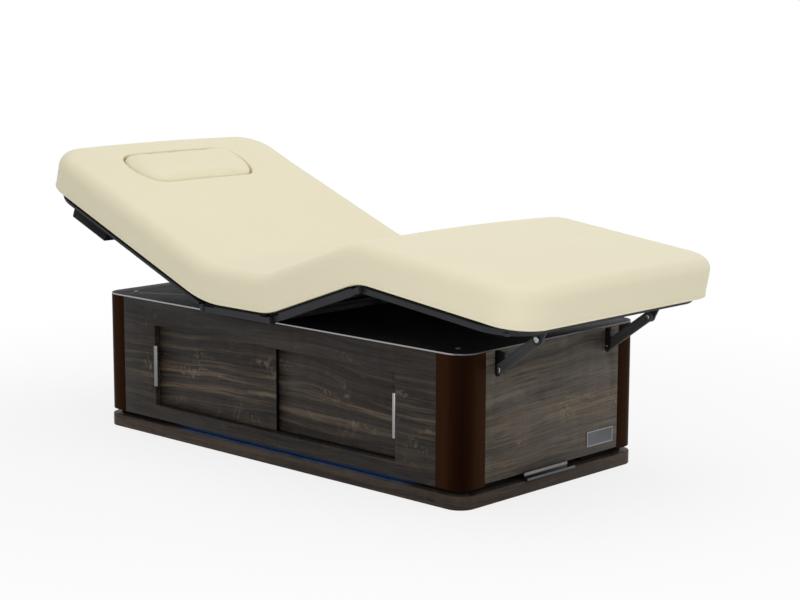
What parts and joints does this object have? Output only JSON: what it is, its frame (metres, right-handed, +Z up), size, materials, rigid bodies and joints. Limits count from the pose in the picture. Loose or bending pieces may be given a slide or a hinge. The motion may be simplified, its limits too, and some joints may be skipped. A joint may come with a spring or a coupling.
{
  "type": "spa bed with cabinet base",
  "caption": "Spa bed: a padded lounger in hinged sections on a deck that lifts out of a closed wooden cabinet with sliding doors.",
  "frame": {"origin": "middle of the plinth's underside, on the floor", "axes": "+X towards the foot end, +Y away from the door side, +Z up"},
  "size_m": [1.9054, 0.84, 0.8267],
  "materials": {
    "upholstery": "soft matt cover",
    "walnut": "dark walnut grain, satin",
    "brown_lacquer": "gloss brown lacquer",
    "black_board": "black stained edge",
    "charcoal_steel": "satin powder coat",
    "black_steel": "matt powder coat",
    "deck_sheet": "satin sheet",
    "aluminium": "brushed",
    "steel": "zinc bright",
    "black_plastic": "fine texture",
    "light_blue": "emissive"
  },
  "bodies": {
    "base": {"plinth": "walnut", "recess_band": "black_board", "cabinet_floor": "black_board", "near_panel": "walnut", "far_panel": "walnut", "head_panel": "walnut", "foot_panel": "walnut", "head_near_post": "brown_lacquer", "head_far_post": "brown_lacquer", "foot_near_post": "brown_lacquer", "foot_far_post": "brown_lacquer", "storage_box": "black_board", "door_tracks": "aluminium", "blank_plate": "aluminium", "light_strips": "light_blue", "control_unit": "black_plastic", "mains_inlet": "black_plastic", "pedal_pivots": "black_steel", "head_column_outer": "black_steel", "foot_column_outer": "black_steel"},
    "left_slider": {"left_door": "walnut", "left_handle": "aluminium"},
    "right_slider": {"right_door": "walnut", "right_handle": "aluminium"},
    "raise_switch": {"raise_pedal": "aluminium"},
    "lower_switch": {"lower_pedal": "aluminium"},
    "middle_tubes": {"column_middles": "black_steel"},
    "lift": {"head_column_inner": "black_steel", "foot_column_inner": "black_steel", "deck": "deck_sheet", "deck_trim": "aluminium", "deck_screws": "black_steel", "lift_frame": "black_steel", "seat_frame": "charcoal_steel", "seat_board": "black_board", "seat_pad": "upholstery", "foot_brackets": "black_steel", "back_actuator": "black_plastic", "leg_actuator": "black_plastic", "seat_pins": "charcoal_steel", "back_bend": "upholstery", "thigh_bend": "upholstery"},
    "back_pusher": {"back_rod": "steel"},
    "leg_pusher": {"leg_rod": "steel"},
    "backrest": {"back_frame": "charcoal_steel", "back_board": "black_board", "back_pad": "upholstery", "head_box": "black_plastic"},
    "face_insert": {"face_cushion": "upholstery"},
    "thigh_section": {"thigh_frame": "charcoal_steel", "thigh_board": "black_board", "thigh_pad": "upholstery", "knee_pins": "charcoal_steel", "knee_bend": "upholstery"},
    "leg_section": {"leg_frame": "charcoal_steel", "leg_board": "black_board", "leg_pad": "upholstery"},
    "foot_links": {"near_link_arm": "black_steel", "far_link_arm": "black_steel", "link_bolts": "steel"}
  },
  "joints": [
    {"name": "bed_height", "type": "slide", "parent": "base", "child": "lift", "axis": [0, 0, 1], "range_m": [0, 0.3]},
    {"name": "column_stage", "type": "slide", "parent": "base", "child": "middle_tubes", "axis": [0, 0, 1], "range_m": [0, 0.15]},
    {"name": "backrest_tilt", "type": "hinge", "parent": "lift", "child": "backrest", "pos_m": [-0.2136, 0, 0.4175], "axis": [0, 1, 0], "range_deg": [-21.8, 33.2], "deforming": ["back_bend"]},
    {"name": "thigh_tilt", "type": "hinge", "parent": "lift", "child": "thigh_section", "pos_m": [0.0608, 0, 0.4175], "axis": [0, -1, 0], "range_deg": [-19.72, 5.28], "deforming": ["thigh_bend"]},
    {"name": "knee_fold", "type": "hinge", "parent": "thigh_section", "child": "leg_section", "pos_m": [0.39941, 0, 0.53887], "axis": [0, -1, 0], "range_deg": [-7.2, 26.62], "deforming": ["knee_bend"]},
    {"name": "foot_link_swing", "type": "hinge", "parent": "lift", "child": "foot_links", "pos_m": [0.719, 0, 0.3497], "axis": [0, -1, 0], "range_deg": [-26.09, 7.06]},
    {"name": "back_rod_travel", "type": "slide", "parent": "lift", "child": "back_pusher", "axis": [-1, 0, 0], "range_m": [-0.0282, 0.0415]},
    {"name": "leg_rod_travel", "type": "slide", "parent": "lift", "child": "leg_pusher", "axis": [1, 0, 0], "range_m": [-0.0235, 0.0066]},
    {"name": "left_door_slide", "type": "slide", "parent": "base", "child": "left_slider", "axis": [1, 0, 0], "range_m": [0, 0.42]},
    {"name": "right_door_slide", "type": "slide", "parent": "base", "child": "right_slider", "axis": [1, 0, 0], "range_m": [-0.42, 0]},
    {"name": "raise_pedal_lift", "type": "hinge", "parent": "base", "child": "raise_switch", "pos_m": [0.65, 0, 0.0455], "axis": [0, -1, 0], "range_deg": [0, 3.5], "stiffness_Nm_per_rad": 3, "springref_deg": -5.73},
    {"name": "lower_pedal_press", "type": "hinge", "parent": "base", "child": "lower_switch", "pos_m": [0.65, 0, 0.0414], "axis": [0, 1, 0], "range_deg": [0, 3], "stiffness_Nm_per_rad": 3, "springref_deg": -8.59},
    {"name": "face_cushion_lift", "type": "slide", "parent": "backrest", "child": "face_insert", "axis": [0.3714, 0, 0.9285], "range_m": [0, 0.1]}
  ],
  "couplings": [
    {"joint": "column_stage", "follows": "bed_height", "ratio": 0.5},
    {"joint": "knee_fold", "follows": "thigh_tilt", "ratio": -1.3448},
    {"joint": "foot_link_swing", "follows": "thigh_tilt", "ratio": 1.318},
    {"joint": "back_rod_travel", "follows": "backrest_tilt", "m_per_rad": 0.0716},
    {"joint": "leg_rod_travel", "follows": "thigh_tilt", "m_per_rad": 0.0671}
  ]
}
